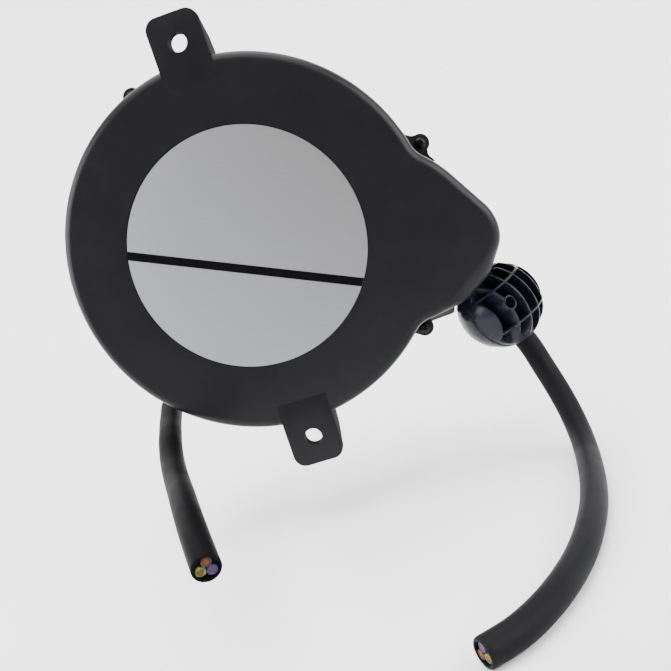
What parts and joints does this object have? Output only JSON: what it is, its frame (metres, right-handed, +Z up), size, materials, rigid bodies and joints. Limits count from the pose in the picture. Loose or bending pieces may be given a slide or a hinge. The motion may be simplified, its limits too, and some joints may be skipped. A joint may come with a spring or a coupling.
{
  "type": "retractable cable reel",
  "caption": "Spring-driven retractable cable reel: round shallow housing with a nose, flush mounting lugs, brushed label disc, stop ball and bare-ended flexible cables.",
  "frame": {"origin": "on the flat front face, midway between the two mounting lug holes, on the drum's axis", "axes": "+X to the right seen from the front, +Y back through the housing along the drum's axis, +Z up along the line of the lugs"},
  "size_m": [0.1972, 0.22, 0.2228],
  "materials": {
    "black_housing": "satin black moulded polypropylene",
    "black_flexible": "soft black PVC moulding",
    "cable_sheath": "smooth black flexible cable sheath, slight sheen",
    "ball_plastic": "blue-black glossy moulded plastic",
    "brushed_label": "finely brushed silver foil",
    "black_screw": "blackened steel screws",
    "bright_steel": "zinc-plated or turned steel",
    "spring_steel": "blued spring strip",
    "drum_plastic": "dark grey moulded nylon",
    "natural_nylon": "natural nylon",
    "brass": "plain sintered brass",
    "copper_ring": "turned copper alloy",
    "core_insulation": "coloured PVC core insulation"
  },
  "bodies": {
    "housing": {"front_cover": "black_housing", "rear_cover": "black_housing", "slip_ring_cover": "black_housing", "label_disc": "brushed_label", "housing_screws": "black_screw", "cover_screws": "black_screw", "centre_shaft": "bright_steel", "shaft_circlip": "bright_steel", "contact_holder": "natural_nylon", "contact_fingers": "brass", "contact_screws": "bright_steel", "tail_core_wires": "core_insulation", "gland_nut": "black_housing", "gland_cable": "cable_sheath", "tail_strain_relief": "black_flexible", "tail_cable": "cable_sheath", "outlet_bush": "black_flexible", "roller_pins": "bright_steel", "cable_run": "cable_sheath", "pawl_pin": "bright_steel", "pawl_spring": "bright_steel"},
    "drum": {"drum": "drum_plastic", "drum_front_flange": "drum_plastic", "ratchet_ring": "natural_nylon", "spring_cover": "bright_steel", "spring_divider": "bright_steel", "front_bush": "brass", "rear_bush": "brass", "cable_anchor": "bright_steel", "anchor_screw": "bright_steel", "drum_core_wires": "core_insulation", "cable_inner_end": "cable_sheath", "wound_cable": "cable_sheath", "power_spring": "spring_steel", "slip_ring_carrier": "natural_nylon", "slip_ring_live": "copper_ring", "slip_ring_neutral": "copper_ring", "slip_ring_earth": "copper_ring"},
    "upper_roller": {"upper_roller": "natural_nylon"},
    "lower_roller": {"lower_roller": "natural_nylon"},
    "pawl": {"latch_pawl": "natural_nylon"},
    "cable_end": {"ball_half_front": "ball_plastic", "ball_half_rear": "ball_plastic", "ball_screws": "bright_steel", "ball_nuts": "bright_steel", "clamped_cable": "cable_sheath", "main_cable": "cable_sheath"}
  },
  "joints": [
    {"name": "drum_spin", "type": "hinge", "parent": "housing", "child": "drum", "pos_m": [0, 0, 0], "axis": [0, 1, 0], "range_deg": [0, 1820], "stiffness_Nm_per_rad": 0.012, "springref_deg": -859.44, "deforming": ["power_spring"]},
    {"name": "cable_pull", "type": "slide", "parent": "housing", "child": "cable_end", "axis": [0.342, 0, -0.9397], "range_m": [0, 1.8], "deforming": ["cable_run"]},
    {"name": "upper_roller_spin", "type": "hinge", "parent": "housing", "child": "upper_roller", "pos_m": [0.08835, 0.026, -0.01892], "axis": [0, 1, 0], "continuous": true},
    {"name": "lower_roller_spin", "type": "hinge", "parent": "housing", "child": "lower_roller", "pos_m": [0.07234, 0.026, -0.03167], "axis": [0, 1, 0], "continuous": true},
    {"name": "pawl_lift", "type": "hinge", "parent": "housing", "child": "pawl", "pos_m": [-0.0571, 0.011, -0.02662], "axis": [0, 1, 0], "range_deg": [0, 12], "stiffness_Nm_per_rad": 0.002, "springref_deg": -28.65, "deforming": ["pawl_spring"]}
  ],
  "couplings": [
    {"joint": "cable_pull", "follows": "drum_spin", "m_per_rad": 0.0566},
    {"joint": "upper_roller_spin", "follows": "drum_spin", "ratio": -12.58},
    {"joint": "lower_roller_spin", "follows": "drum_spin", "ratio": 12.58}
  ]
}
